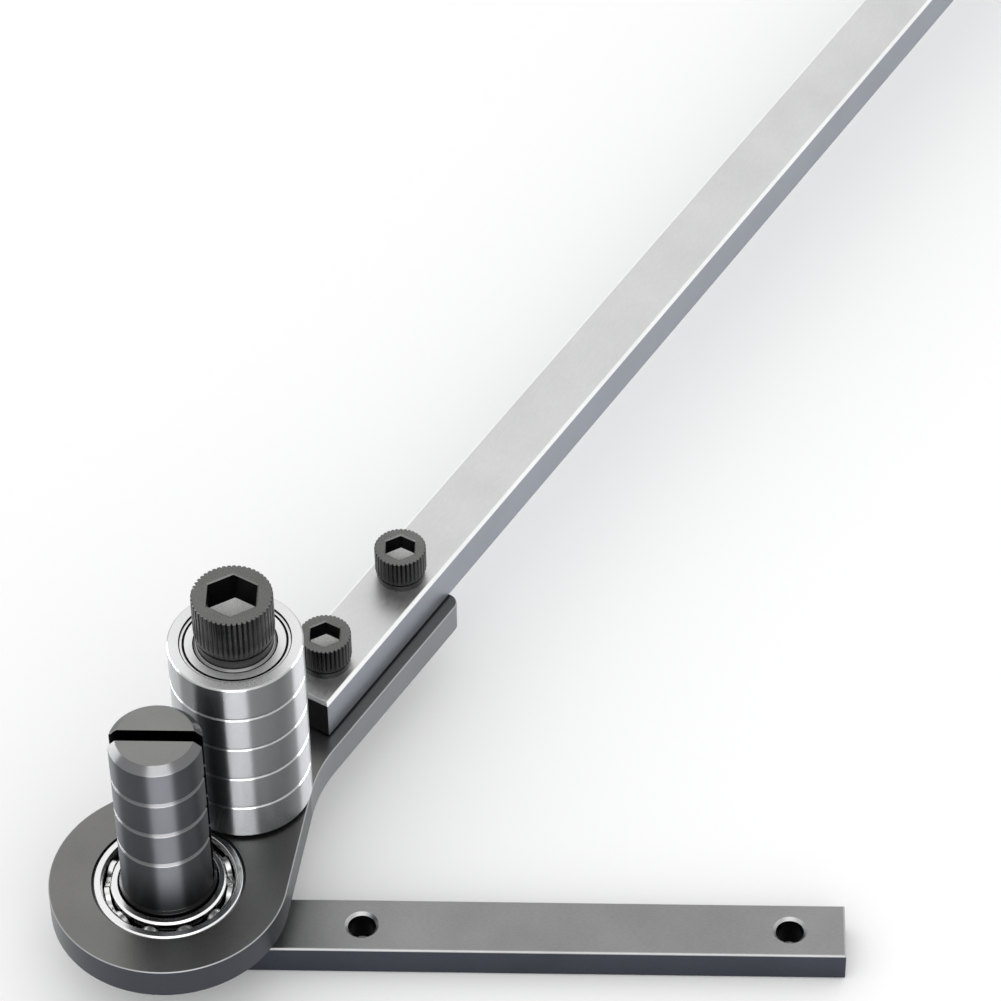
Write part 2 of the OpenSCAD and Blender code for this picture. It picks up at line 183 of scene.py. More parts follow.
# A band of faces between two closed rings that have as many corners
def band(bm, low, high):
    return [bm.faces.new(corners) for corners in zip(low, low[1:] + low[:1], high[1:] + high[:1], high)]


# Fills the flat face between an outline and the loops of the holes in it
def fill_between(bm, loops):
    edges = [bm.edges.get(pair) for loop in loops for pair in zip(loop, loop[1:] + loop[:1])]
    bmesh.ops.triangle_fill(bm, use_beauty=True, use_dissolve=False, edges=edges)


# The worked mesh as one that a piece can take, its faces looking outwards
def finished_mesh(bm, name):
    bmesh.ops.recalc_face_normals(bm, faces=bm.faces)
    mesh = bpy.data.meshes.new(name)
    bm.to_mesh(mesh)
    bm.free()
    return mesh


hole_steps = 96


# A flat piece cut from plate: outline_at gives its outline for an inset, levels are
# (height, inset) from the bottom up, and each hole is (centre, levels) with (height, radius)
# from the bottom up. side_finishes gives a finish number to sides of the outline, and
# dark_rows gives, by hole, the row of its wall that has finish 1.
def slab(name, outline_at, levels, holes, side_finishes=None, dark_rows=None):
    bm = bmesh.new()

    def ring(points, height):
        return [bm.verts.new((*point, height)) for point in points]

    def circle(centre, radius):
        angles = [-i * math.tau / hole_steps for i in range(hole_steps)]
        return [(centre[0] + radius * math.cos(a), centre[1] + radius * math.sin(a)) for a in angles]

    def wall(rings, finishes, dark_row):
        for row, (low, high) in enumerate(zip(rings, rings[1:])):
            for i, face in enumerate(band(bm, low, high)):
                face.material_index = 1 if row == dark_row else finishes.get(i, 0)

    stacks = [[ring(outline_at(by), height) for height, by in levels]]
    for centre, hole_levels in holes:
        stacks.append([ring(circle(centre, radius), height) for height, radius in hole_levels])
    wall(stacks[0], side_finishes or {}, None)
    for n, stack in enumerate(stacks[1:]):
        wall(stack, {}, (dark_rows or {}).get(n))
    for end in (0, -1):
        fill_between(bm, [stack[end] for stack in stacks])
    return finished_mesh(bm, name)


# Puts a mesh into the scene: it takes its materials and its body, and stands for its CAD nodes.
# Its corners get a small worn radius, or stay as they are where none is given, and sharp is the
# angle in degrees from which a corner counts as one.
def place_piece(name, mesh, materials, body, stands_for, at=(0, 0, 0), turn=0.0, corner=0.0,
                sharp=30, segments=2):
    if turn:
        mesh.transform(Matrix.Rotation(turn, 4, "Z"))
    piece = bpy.data.objects.new(name, mesh)
    bpy.context.scene.collection.objects.link(piece)
    if not mesh.materials:
        for material in materials:
            mesh.materials.append(material)
    mesh.shade_smooth()
    if corner:
        bevel = piece.modifiers.new("worn corners", "BEVEL")
        bevel.width = corner
        bevel.segments = segments
        bevel.limit_method = "ANGLE"
        bevel.angle_limit = math.radians(sharp)
        bevel.harden_normals = True
        bevel.use_clamp_overlap = True
    else:
        mesh.set_sharp_from_angle(angle=math.radians(sharp))
    piece.location = at
    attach(piece, body)
    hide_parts(*stands_for)
    return piece


# Outlines of a bar with its four upright corners worn, by inset
def bar_outline(start, end, half, wear):
    def outline_at(by):
        near, far, side = start + by, end - by, half - by
        return ((near + wear, -side), (far - wear, -side), (far, wear - side), (far, side - wear),
                (far - wear, side), (near + wear, side), (near, side - wear), (near, wear - side))
    return outline_at


worn_share = 0.7


# Levels of a slab between two heights, with a chamfer at each whose corners are worn
def chamfered(low, high, whole_chamfer, wear):
    chamfer = whole_chamfer - wear
    worn = worn_share * wear
    rows = [(0, chamfer + wear), (worn, chamfer - worn), (chamfer - worn, worn), (chamfer + wear, 0)]
    return [(low + h, by) for h, by in rows] + [(high - h, by) for h, by in reversed(rows)]


base_steel = steel("ground_dark_bar", top=(0.287, 0.287, 0.287), edge=(0.46, 0.46, 0.465),
                   side=(0.063, 0.067, 0.087), roughness=0.36, grain=(0.25, 1, 1))
# A near-black for holes, slots, sockets, seams and the gaps between parts: painted shade where little light
# reaches
shade_black = steel("shade_black", top=(0.012, 0.012, 0.012), edge=(0.012, 0.012, 0.012),
                    side=(0.006, 0.006, 0.007), roughness=0.3, mottle=0.2)
bolt_hole = [(0, bolt_hole_radius), (base_top - bolt_hole_chamfer, bolt_hole_radius),
             (base_top, bolt_hole_radius + bolt_hole_chamfer)]
base_holes = [((x, 0), bolt_hole) for x in bolt_holes_x]
base_holes.append(((0, 0), [(0, stud_radius), (base_top, stud_radius)]))
# The bolt holes' walls are painted black, the shade inside them
base_mesh = slab("base_bar_ground", bar_outline(base_low.x, base_high.x, base_high.y, edge_break),
                 chamfered(0, base_top, base_bevel, edge_break), base_holes, dark_rows={0: 0, 1: 0})
place_piece("base_bar_ground", base_mesh, (base_steel, shade_black), "base", ["base_bar"],
            sharp=15)

# The post: turned from bar with a stud below, a flange under the bearing, a seat, three fine
# rings and a chamfered top, then slotted across for the strip. It is blued steel. Its top is a
# lighter grey than its sides in painted light, its lower part darkens towards the plate in
# painted shade, and its seat and the inside of its slot are painted black for shade.
arm_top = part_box("arm_plate")[1].z
post_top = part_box("post")[1].z
bearing_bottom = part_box("centre_inner_ring")[0].z
post_radius = 13.75 * mm
post_bevel = 2.3 * mm
flange_radius = 16.5 * mm
seat_radius = 14.5 * mm
seat_above_plate = 1.0 * mm
seat_top = arm_top + seat_above_plate
slot_half = 2.0 * mm
slot_above_plate = 2.0 * mm
slot_floor = arm_top + slot_above_plate
first_ring_height = 22.2 * mm
ring_pitch = 13.2 * mm
ring_heights = [arm_top + first_ring_height + i * ring_pitch for i in range(3)]
ring_half = 0.8 * mm
ring_depth = 0.8 * mm
foot_shade_height = 18.0 * mm
cheek_steps = 96
slot_end_steps = 6


def slotted_post(name):
    bm = bmesh.new()

    # One level's corners: the rear cheek, the left end of the slot, the front cheek, the right end
    def level(radius, height, first=0, last=None):
        lean = math.asin(slot_half / radius)
        cheek = [lean + (math.pi - 2 * lean) * i / cheek_steps for i in range(cheek_steps + 1)]
        end = [math.pi - lean + 2 * lean * i / slot_end_steps for i in range(1, slot_end_steps)]
        angles = cheek + end + [a + math.pi for a in cheek] + [a + math.pi for a in end]
        return [bm.verts.new((radius * math.cos(a), radius * math.sin(a), height))
                for a in angles[first:last]]

    below = [(stud_radius, 0), (stud_radius, base_top), (flange_radius, base_top),
             (flange_radius, bearing_bottom), (seat_radius, bearing_bottom), (seat_radius, seat_top),
             (post_radius, seat_top + seat_radius - post_radius), (post_radius, slot_floor)]
    # The seat's wall and the cone above it are painted black, the shade at the bearing's bore
    shaded_bands = (4, 5)
    above = []
    for height in ring_heights:
        above += [(post_radius, height - ring_half), (post_radius - ring_depth, height),
                  (post_radius, height + ring_half)]
    above += [(post_radius, post_top - post_bevel), (post_radius - post_bevel, post_top)]

    solid = [level(*corner) for corner in below]
    for n, (low, high) in enumerate(zip(solid, solid[1:])):
        for face in band(bm, low, high):
            face.material_index = int(n in shaded_bands)
    bm.faces.new(list(reversed(solid[0])))
    floor_ring = solid[-1]
    half = cheek_steps + slot_end_steps
    for start in (0, half):
        stop = start + cheek_steps + 1
        cheek = [floor_ring[start:stop]] + [level(*corner, start, stop) for corner in above]
        for low, high in zip(cheek, cheek[1:]):
            # The slot's walls and floor are painted black for the shade inside the slot
            band(bm, low, high)[-1].material_index = 1
        bm.faces.new(cheek[-1]).material_index = 2
    left_end = floor_ring[cheek_steps:half + 1]
    right_end = floor_ring[half + cheek_steps:] + floor_ring[:1]
    bm.faces.new(left_end + right_end).material_index = 1
    return finished_mesh(bm, name)


# The lower post darkens towards the plate, a painted shade for the dark plate it mirrors, and its top is
# painted lighter than its sides
post_steel = steel("blued_turned_post", top=(0.2, 0.2, 0.2), edge=(0.19, 0.191, 0.195),
                   side=(0.066, 0.068, 0.075), roughness=0.4, grain=(1, 1, 4), mottle=0.1,
                   drawn_round=0.95, shade_heights=(slot_floor, slot_floor + foot_shade_height))
lit_post_top = steel("post_top_painted_light", top=(0.255, 0.255, 0.248), edge=(0.2, 0.2, 0.2),
                  side=(0.04, 0.044, 0.054), roughness=0.36, mottle=0.08)
post = place_piece("post_turned", slotted_post("post_turned"), (post_steel, shade_black, lit_post_top),
                   "base", ["post"], corner=0.18 * mm)

# The centre bearing: an open ball bearing pressed into the arm plate, its inner ring on the
# post's seat. Its rings are ground bright, lighter on top than on their sides in painted light,
# and their ball grooves are painted dark for the shade in the gap between them.
inner_land = 17.2 * mm
outer_land = 19.6 * mm
bearing_radius = 22.5 * mm
bearing_middle = (bearing_bottom + arm_top) / 2
ring_bevel = 0.6 * mm
ball_radius = 2.6 * mm
ball_room = 0.1 * mm
ball_path = (inner_land + outer_land) / 2
groove_steps = 10


# A turned piece: a closed profile of (radius, height) corners swept round Z. finishes gives a
# material number to the band that starts at each corner.
def turned(name, profile, steps=128, finishes=None):
    bm = bmesh.new()
    angles = [i * math.tau / steps for i in range(steps)]
    rings = [[bm.verts.new((radius * math.cos(a), radius * math.sin(a), height)) for a in angles]
             for radius, height in profile]
    for n, low in enumerate(rings):
        for face in band(bm, low, rings[(n + 1) % len(rings)]):
            face.material_index = finishes[n] if finishes else 0
    return finished_mesh(bm, name)


# Corners of the round groove that balls run in, from the bottom up; way is 1 in an outer ring
# and -1 in an inner one
def ball_groove(path, groove_radius, land, middle, way):
    reach = math.acos(abs(land - path) / groove_radius)
    angles = [reach * (2 * i / groove_steps - 1) for i in range(groove_steps + 1)]
    return [(path + way * groove_radius * math.cos(a), middle + groove_radius * math.sin(a))
            for a in angles]


# A bearing ring's section and its finishes, 1 in the groove, which faces outwards in an inner
# ring and inwards in an outer one
def ring_section(inner, outer, bottom, top, bevel, is_inner_ring, path, groove_radius):
    middle = (bottom + top) / 2
    if is_inner_ring:
        groove = ball_groove(path, groove_radius, outer, middle, -1)
        before = [(inner + bevel, bottom), (outer - bevel, bottom), (outer, bottom + bevel)]
        after = [(outer, top - bevel), (outer - bevel, top), (inner + bevel, top), (inner, top - bevel),
                 (inner, bottom + bevel)]
    else:
        groove = ball_groove(path, groove_radius, inner, middle, 1)[::-1]
        before = [(inner + bevel, top), (inner, top - bevel)]
        after = [(inner, bottom + bevel), (inner + bevel, bottom), (outer - bevel, bottom),
                 (outer, bottom + bevel), (outer, top - bevel), (outer - bevel, top)]
    finishes = [0] * (len(before) - 1) + [1] * (len(groove) + 1) + [0] * len(after)
    return before + groove + after, finishes


ring_steel = steel("ground_bearing_ring", top=(0.86, 0.86, 0.86), edge=(0.93, 0.93, 0.93),
                   side=(0.6, 0.6, 0.62), roughness=0.16, mottle=0.04, bump=0.1, drawn_round=0.6)
# The ball grooves are painted dark: the shade in the gap between the rings
groove_shade_steel = steel("groove_painted_shade", top=(0.12, 0.115, 0.11), edge=(0.1, 0.1, 0.095),
                      side=(0.05, 0.05, 0.05), roughness=0.22, mottle=0.2, bump=0.2)
for name, node, body, inner, outer, is_inner_ring in (
        ("centre_inner_ring_ground", "centre_inner_ring", "base", seat_radius, inner_land, True),
        ("centre_outer_ring_ground", "centre_outer_ring", "arm", outer_land, bearing_radius, False)):
    section, finishes = ring_section(inner, outer, bearing_bottom, arm_top, ring_bevel, is_inner_ring,
                                     ball_path, ball_radius + ball_room)
    place_piece(name, turned(name, section, finishes=finishes), (ring_steel, groove_shade_steel), body,
                [node], corner=0.1 * mm)

# The centre bearing's cage and balls: two halves of pressed steel ribbon, curved over the
# eleven balls and riveted together between them. At rest it stands at the arm's angle.
arm_angle = math.radians(60)
ball_count = 11
ribbon = 0.55 * mm
ribbon_to_land = 0.45 * mm
pocket_radius = ball_radius + ball_room
pocket_lip = 0.1 * mm
joint_half = 0.02 * mm
least_ribbon_share = 0.9
rivet_radius = 0.55 * mm
rivet_height_share = 0.6
steps_per_ball = 28


# Heights of the ribbon's under and upper face, over a place so far along from a ball's middle
def ribbon_heights(along):
    under = max(math.sqrt(max(0, pocket_radius ** 2 - along ** 2)), joint_half)
    over = math.sqrt(max(0, (pocket_radius + ribbon) ** 2 - along ** 2))
    least = under + ribbon * least_ribbon_share if under > pocket_lip else ribbon
    return under, max(over, least)


def ribbon_cage(name):
    bm = bmesh.new()
    inner, outer = inner_land + ribbon_to_land, outer_land - ribbon_to_land
    steps = ball_count * steps_per_ball
    for way in (1, -1):
        rows = []
        for i in range(steps):
            a = i * math.tau / steps
            turns_from_ball = (a * ball_count / math.tau + 0.5) % 1 - 0.5
            under, over = ribbon_heights(turns_from_ball * math.tau / ball_count * ball_path)
            rows.append([bm.verts.new((r * math.cos(a), r * math.sin(a), bearing_middle + way * h))
                         for r, h in ((inner, under), (outer, under), (outer, over), (inner, over))])
        for here, there in zip(rows, rows[1:] + rows[:1]):
            band(bm, here, there)
        for n in range(ball_count):
            a = (n + 0.5) * math.tau / ball_count
            spot = (ball_path * math.cos(a), ball_path * math.sin(a), bearing_middle + way * ribbon)
            head = bmesh.ops.create_uvsphere(bm, u_segments=16, v_segments=8, radius=rivet_radius)["verts"]
            bmesh.ops.scale(bm, vec=(1, 1, rivet_height_share), verts=head)
            bmesh.ops.translate(bm, vec=spot, verts=head)
    return finished_mesh(bm, name)


# A CAD node that is right as it is takes its real material
def finish_node(node, material):
    for material_slot in frame["nodes"][node].material_slots:
        material_slot.material = material


# The cage's tops and edges are painted near-white against the shade it sits in, and the balls' tops are
# lighter than their sides: painted highlight and painted light
cage_steel = steel("pressed_cage_steel", top=(0.92, 0.92, 0.91), edge=(0.92, 0.92, 0.92),
                   side=(0.2, 0.2, 0.2), roughness=0.3, mottle=0.1, bump=0.15)
ball_steel = steel("polished_ball_steel", top=(0.85, 0.85, 0.85), edge=(0.6, 0.6, 0.6),
                   side=(0.12, 0.12, 0.12), roughness=0.08, mottle=0.03, bump=0.05)
place_piece("centre_cage_pressed", ribbon_cage("centre_cage_pressed"), (cage_steel,),
            "centre_balls_and_cage", ["centre_cage"], turn=arm_angle, corner=0.06 * mm,
            sharp=40)
inside_steels = {"ball_steel": ball_steel, "cage_steel": cage_steel}
for part in frame["record"]["subparts"]:
    if part["material_slot"] in inside_steels:
        finish_node(part["node"], inside_steels[part["material_slot"]])

# The arm plate: cut from thick plate with a round head, a necked-in tongue and a bore with a
# lip under the bearing. Its top is ground and its cut edge a bluer grey. Its bright corners are a
# painted highlight, its top is lighter than its sides and the sides of its tongue lighter still,
# all painted light, and the seam at the top of its bore is painted black for shade.
plate_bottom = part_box("arm_plate")[0].z
plate_edge = 0.3 * mm
plate_wear = 0.06 * mm
head_radius = 35.5 * mm
tongue_half = 14.25 * mm
tongue_end = 141 * mm
tongue_corner = 4 * mm
neck_lean = math.radians(22.5)
neck_radius = 50 * mm
lip_radius = 20.5 * mm
bearing_seam = 0.35 * mm
roller_x = 41.5 * mm
roller_screw_radius = 8 * mm
handle_screw_radius = 5 * mm
handle_screws_x = (86.5 * mm, 129.0 * mm)
tongue_corner_steps = 12
neck_steps = 20
head_steps = 72


def arc(centre, radius, start, end, steps):
    angles = [start + (end - start) * i / steps for i in range(steps + 1)]
    return [Vector((centre[0] + radius * math.cos(a), centre[1] + radius * math.sin(a))) for a in angles]


# A closed outline moved inwards by a distance, mitred at its corners
def inset(outline, distance):
    moved = []
    for i, point in enumerate(outline):
        before = (point - outline[i - 1]).normalized()
        after = (outline[(i + 1) % len(outline)] - point).normalized()
        left = Vector((-before.y, before.x)) + Vector((-after.y, after.x))
        moved.append(point + left * (distance / (1 + before.dot(after))))
    return moved


# The plate's outline: one half from the tongue's end over the neck and round the head, and the
# same half mirrored
def plate_outline():
    corner_x = (head_radius / math.cos(neck_lean) - tongue_half) / math.tan(neck_lean)
    neck_x = corner_x + neck_radius * math.tan(neck_lean / 2)
    quarter = math.pi / 2
    half = arc((tongue_end - tongue_corner, tongue_half - tongue_corner), tongue_corner, 0, quarter,
               tongue_corner_steps)
    half += arc((neck_x, tongue_half + neck_radius), neck_radius, -quarter, -quarter - neck_lean,
                neck_steps)
    half += arc((0, 0), head_radius, quarter - neck_lean, math.pi, head_steps)
    return half + [Vector((p.x, -p.y)) for p in reversed(half[:-1])]


# A straight hole through the plate, as slab takes it
def plate_hole(x, radius):
    return ((x, 0), [(plate_bottom, radius), (arm_top, radius)])


plate_steel = steel("ground_plate", top=(0.2, 0.199, 0.195), edge=(0.42, 0.42, 0.43),
                    side=(0.058, 0.062, 0.074), roughness=0.32, mottle=0.1)
# The tongue's sides are painted lighter: painted light for the bright side they face
lit_side_steel = steel("tongue_side_painted_light", top=(0.2, 0.199, 0.195), edge=(0.42, 0.42, 0.43),
                     side=(0.24, 0.247, 0.266), roughness=0.36, mottle=0.1)
bearing_bore = [(plate_bottom, lip_radius), (bearing_bottom, lip_radius), (bearing_bottom, bearing_radius),
                (arm_top - bearing_seam, bearing_radius), (arm_top, bearing_radius + bearing_seam)]
plate_holes = [((0, 0), bearing_bore), plate_hole(roller_x, roller_screw_radius)]
plate_holes += [plate_hole(x, handle_screw_radius) for x in handle_screws_x]
plate_shape = plate_outline()
first_turned_side = tongue_corner_steps + 1 + neck_steps + 1
turned_sides = range(first_turned_side, len(plate_shape) - first_turned_side)
lit_tongue_sides = {i: 2 for i in range(len(plate_shape)) if i not in turned_sides}
# The seam at the top of the bearing bore is painted black for the shade in the gap
plate_mesh = slab("arm_plate_ground", lambda by: inset(plate_shape, by),
                  chamfered(plate_bottom, arm_top, plate_edge, plate_wear), plate_holes,
                  side_finishes=lit_tongue_sides, dark_rows={0: 3})
place_piece("arm_plate_ground", plate_mesh, (plate_steel, shade_black, lit_side_steel), "arm",
            ["arm_plate"], turn=arm_angle, sharp=15)

# The handle: a long flat bar of bright satin steel with milled edges and sawn ends, lying on
# the plate's tongue, where two screws hold it. Its top is lighter than its sides in painted
# light, and its edges are near-white, a painted highlight.
handle_start = 71.5 * mm
handle_length = 520 * mm
handle_end = handle_start + handle_length
handle_half = 10.25 * mm
handle_bevel = 1.0 * mm
handle_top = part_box("handle_bar")[1].z
handle_hole_radius = 5.25 * mm
sawn_ends = {2: 1, 6: 1}
handle_steel = steel("satin_handle", top=(0.66, 0.66, 0.665), edge=(0.93, 0.93, 0.93),
                     side=(0.32, 0.34, 0.385), roughness=0.38, grain=(0.2, 1, 1), mottle=0.06,
                     lay=arm_angle)
sawn_steel = steel("sawn_handle_end", top=(0.3, 0.3, 0.3), edge=(0.6, 0.6, 0.6),
                   side=(0.05, 0.05, 0.052), roughness=0.4, mottle=0.15)
handle_holes = [((x, 0), [(arm_top, handle_hole_radius), (handle_top, handle_hole_radius)])
                for x in handle_screws_x]
handle_mesh = slab("handle_bar_milled", bar_outline(handle_start, handle_end, handle_half, edge_break),
                   chamfered(arm_top, handle_top, handle_bevel, edge_break), handle_holes,
                   side_finishes=sawn_ends)
place_piece("handle_bar_milled", handle_mesh, (handle_steel, sawn_steel), "arm",
            ["handle_bar"], turn=arm_angle, sharp=15)

# The socket-head screws: black oxide, with straight-knurled heads and hexagon sockets. Two M10
# hold the handle, and one M16 is the rollers' axle. Each has a black lock washer under its head.
# Their tops are lighter than their sides in painted light, the socket walls are painted black for
# shade, the socket's rim is a painted highlight, and the socket's drilled end is bare steel made
# paler still in painted light.
handle_washer_thickness = 2.0 * mm
roller_washer_thickness = 3.2 * mm
handle_head_z = handle_top + handle_washer_thickness
roller_head_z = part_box("roller_5_outer_ring")[1].z + roller_washer_thickness
thread_point = 1.0 * mm
head_foot_bevel = 0.5 * mm
socket_chamfer = 0.4 * mm
hexagon_turn = math.pi / 6 - arm_angle
# Depths of a groove between two knurls at its four steps, and where the plain band's taper
# starts, as shares of the groove and of the band; then the slope of the socket's drilled end
knurl_shares = (0.0, 0.1, 1.0, 0.1)
taper_share = 0.6
drill_slope = 0.55


def socket_screws(name, screws_x, head_z, head_radius, head_height, plain_band, knurls, knurl_depth, rim,
                  hexagon, socket_depth, thread_radius):
    bm = bmesh.new()
    steps = knurls * len(knurl_shares)
    length = head_z - plate_bottom
    foot_radius = head_radius - knurl_depth
    profile = [(thread_radius - thread_point, -length, 0), (thread_radius, thread_point - length, 0),
               (thread_radius, 0, 0), (foot_radius - head_foot_bevel, 0, 0),
               (foot_radius, head_foot_bevel, 0), (foot_radius, plain_band * taper_share, 0),
               (head_radius, plain_band, knurl_depth), (head_radius, head_height - rim, knurl_depth),
               (head_radius - rim, head_height, knurl_depth)]
    socket = [(hexagon / 2 + socket_chamfer, head_height), (hexagon / 2, head_height - socket_chamfer),
              (hexagon / 2, head_height - socket_depth)]

    def round_ring(x, radius, height, knurled):
        corners = []
        for i in range(steps):
            a = i * math.tau / steps
            r = radius - knurled * knurl_shares[i % len(knurl_shares)]
            corners.append(bm.verts.new((x + r * math.cos(a), r * math.sin(a), head_z + height)))
        return corners

    def hexagon_ring(x, flat_radius, height):
        r = flat_radius / math.cos(math.pi / 6)
        angles = [hexagon_turn + i * math.pi / 3 for i in range(6)]
        return [bm.verts.new((x + r * math.cos(a), r * math.sin(a), head_z + height)) for a in angles]

    for x in screws_x:
        outside = [round_ring(x, *corner) for corner in profile]
        for low, high in zip(outside, outside[1:]):
            band(bm, low, high)
        bm.faces.new(list(reversed(outside[0])))
        inside = [hexagon_ring(x, *corner) for corner in socket]
        # The socket's rim takes a painted highlight and its walls are painted black for shade
        for high, low, finish in ((inside[0], inside[1], 3), (inside[1], inside[2], 2)):
            for face in band(bm, high, low):
                face.material_index = finish
        tip = bm.verts.new((x, 0, head_z + head_height - socket_depth - drill_slope * hexagon / 2))
        floor_ring = inside[2]
        for here, there in zip(floor_ring, floor_ring[1:] + floor_ring[:1]):
            bm.faces.new((here, there, tip)).material_index = 1
        fill_between(bm, (outside[-1], inside[0]))
    return finished_mesh(bm, name)


black_oxide = steel("black_oxide", top=(0.16, 0.16, 0.158), edge=(0.12, 0.12, 0.12),
                    side=(0.04, 0.04, 0.041), roughness=0.3, mottle=0.2)
# The socket's drilled end is bare steel, painted paler for the light falling on it from above
socket_bottom = steel("socket_bottom", top=(0.62, 0.62, 0.61), edge=(0.62, 0.62, 0.61),
                      side=(0.2, 0.2, 0.2), roughness=0.4, mottle=0.35)
rim_highlight_steel = steel("socket_rim_painted_highlight", top=(0.2, 0.2, 0.2), edge=(0.22, 0.22, 0.22), side=(0.2, 0.2, 0.2),
                 roughness=0.35, mottle=0.3)
screw_finishes = (black_oxide, socket_bottom, shade_black, rim_highlight_steel)
small_screws = socket_screws("handle_screws_knurled", handle_screws_x, handle_head_z, head_radius=8 * mm,
                             head_height=10 * mm, plain_band=1.6 * mm, knurls=36, knurl_depth=0.5 * mm,
                             rim=0.15 * mm, hexagon=9 * mm, socket_depth=5.6 * mm,
                             thread_radius=handle_screw_radius)
place_piece("handle_screws_knurled", small_screws, screw_finishes, "arm",
            ["handle_screws"], turn=arm_angle)
big_screw = socket_screws("roller_screw_knurled", (roller_x,), roller_head_z, head_radius=12 * mm,
                          head_height=16 * mm, plain_band=2.6 * mm, knurls=48, knurl_depth=0.55 * mm,
                          rim=0.2 * mm, hexagon=14.5 * mm, socket_depth=10 * mm,
                          thread_radius=roller_screw_radius)
roller_screw = place_piece("roller_screw_knurled", big_screw, screw_finishes, "arm",
                           ["roller_screw"], turn=arm_angle)
# Lock washers: edges and tops painted lighter than their sides, a painted highlight and painted light
spring_steel = steel("blackened_spring_steel", top=(0.3, 0.3, 0.3), edge=(0.36, 0.36, 0.36),
                     side=(0.05, 0.05, 0.051), roughness=0.28, mottle=0.15)
for node in ("handle_lock_washers", "roller_lock_washer"):
    finish_node(node, spring_steel)

# The rollers: five chromed ball bearings stacked on the screw, shielded on both faces, with
# thin shims between their inner rings and a washer below. Each outer ring turns on its own.
roller_count = 5
roller_low, roller_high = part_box("roller_1_outer_ring")
roller_width = roller_high.z - roller_low.z
roller_axis = Vector((roller_x * math.cos(arm_angle), roller_x * math.sin(arm_angle), 0))
roller_radius = 20 * mm
roller_bevel = 0.4 * mm
roller_bore = 8.5 * mm
roller_inner_land = 12.2 * mm
roller_outer_land = 15.9 * mm
roller_path = (roller_inner_land + roller_outer_land) / 2
roller_groove = 3.5 * mm
shield_seat = 16.3 * mm
seat_depth = 1.2 * mm
seat_bevel = 0.25 * mm
shield_inner = 12.5 * mm
shield_low, shield_high = 0.6 * mm, 1.2 * mm
step_inner, step_outer = 14.9 * mm, 15.6 * mm
step_slope = 0.2 * mm
step_height = 0.35 * mm
smooth_steps = 160


# The outer ring is painted black for shade in the corner and on the wall of the seat round its upper shield
def outer_ring(name):
    upper = [(roller_radius - roller_bevel, 0), (roller_radius, roller_bevel),
             (roller_radius, roller_width - roller_bevel), (roller_radius - roller_bevel, roller_width),
             (shield_seat + seat_bevel, roller_width), (shield_seat, roller_width - seat_bevel),
             (shield_seat, roller_width - seat_depth), (roller_outer_land, roller_width - seat_depth)]
    groove = ball_groove(roller_path, roller_groove, roller_outer_land, roller_width / 2, 1)[::-1]
    lower = [(roller_outer_land, seat_depth), (shield_seat, seat_depth), (shield_seat, seat_bevel),
             (shield_seat + seat_bevel, 0)]
    section = upper + groove + lower
    shaded_bands = (4, 5)
    return turned(name, section, smooth_steps, [int(n in shaded_bands) for n in range(len(section))])


# The inner ring has one finish all over, because the shields cover its groove
def inner_ring(name):
    section = ring_section(roller_bore, roller_inner_land, 0, roller_width, ring_bevel, True,
                           roller_path, roller_groove)[0]
    return turned(name, section)


# Two thin rings with a pressed step, which is painted black for the shade in it, the upper one a mirror
# image
def shields(name):
    section = [(shield_inner, shield_low), (step_inner, shield_low),
               (step_inner + step_slope, shield_low + step_height),
               (step_outer - step_slope, shield_low + step_height), (step_outer, shield_low),
               (shield_seat, shield_low), (shield_seat, shield_high), (shield_inner, shield_high)]
    step_bands = (1, 2, 3)
    finishes = [int(n in step_bands) for n in range(len(section))]
    lower = turned("lower_shield", section, smooth_steps, finishes)
    upper = lower.copy()
    upper.transform(Matrix.Translation((0, 0, roller_width)) @ Matrix.Scale(-1, 4, (0, 0, 1)))
    bm = bmesh.new()
    bm.from_mesh(lower)
    bm.from_mesh(upper)
    return finished_mesh(bm, name)


# The chrome's sides are painted much darker than its top and edges: painted shade for the dark surroundings
# chrome mirrors
chrome = steel("hard_chrome", top=(0.84, 0.84, 0.845), edge=(0.5, 0.5, 0.5), side=(0.21, 0.214, 0.222),
               roughness=0.29, grain=(1, 1, 8), mottle=0.02, bump=0.008, drawn_round=1.0)
# The shields' tops are painted lighter than their sides: painted light
shield_steel = steel("pressed_shield", top=(0.9, 0.9, 0.9), edge=(0.7, 0.7, 0.7),
                     side=(0.12, 0.12, 0.12), roughness=0.48, mottle=0.04, bump=0.1)
# The roller's inner ring: edges painted dark for the shade round the washer on it, sides darker than its
# top in painted shade
shaded_ring_steel = steel("inner_ring_painted_shade", top=(0.7, 0.7, 0.7), edge=(0.2, 0.2, 0.2), side=(0.1, 0.1, 0.1),
                   roughness=0.25, mottle=0.1)
outer_mesh = outer_ring("roller_outer_ring_chromed")
shields_mesh = shields("roller_shields_pressed")
inner_mesh = inner_ring("roller_inner_ring_ground")
chromed_rings = []
for i in range(1, roller_count + 1):
    spot = roller_axis + Vector((0, 0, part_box(f"roller_{i}_outer_ring")[0].z))
    chromed_rings.append(place_piece(
        f"roller_{i}_outer_ring_chromed", outer_mesh, (chrome, shade_black), f"roller_{i}",
        [f"roller_{i}_outer_ring"], at=spot, corner=0.12 * mm, segments=3))
    place_piece(f"roller_{i}_shields_pressed", shields_mesh, (shield_steel, shade_black), f"roller_{i}",
                [f"roller_{i}_shields"], at=spot, corner=0.05 * mm)
    place_piece(f"roller_{i}_inner_ring_ground", inner_mesh, (shaded_ring_steel,), "arm",
                [f"roller_{i}_inner_ring"], at=spot, corner=0.1 * mm)
# Foot washer and shims: tops painted lighter than their sides, painted light
washer_steel = steel("bright_washer", top=(0.6, 0.6, 0.6), edge=(0.6, 0.6, 0.6), side=(0.3, 0.3, 0.3),
                     roughness=0.3)
for node in ("roller_foot_washer", "roller_shims"):
    finish_node(node, washer_steel)

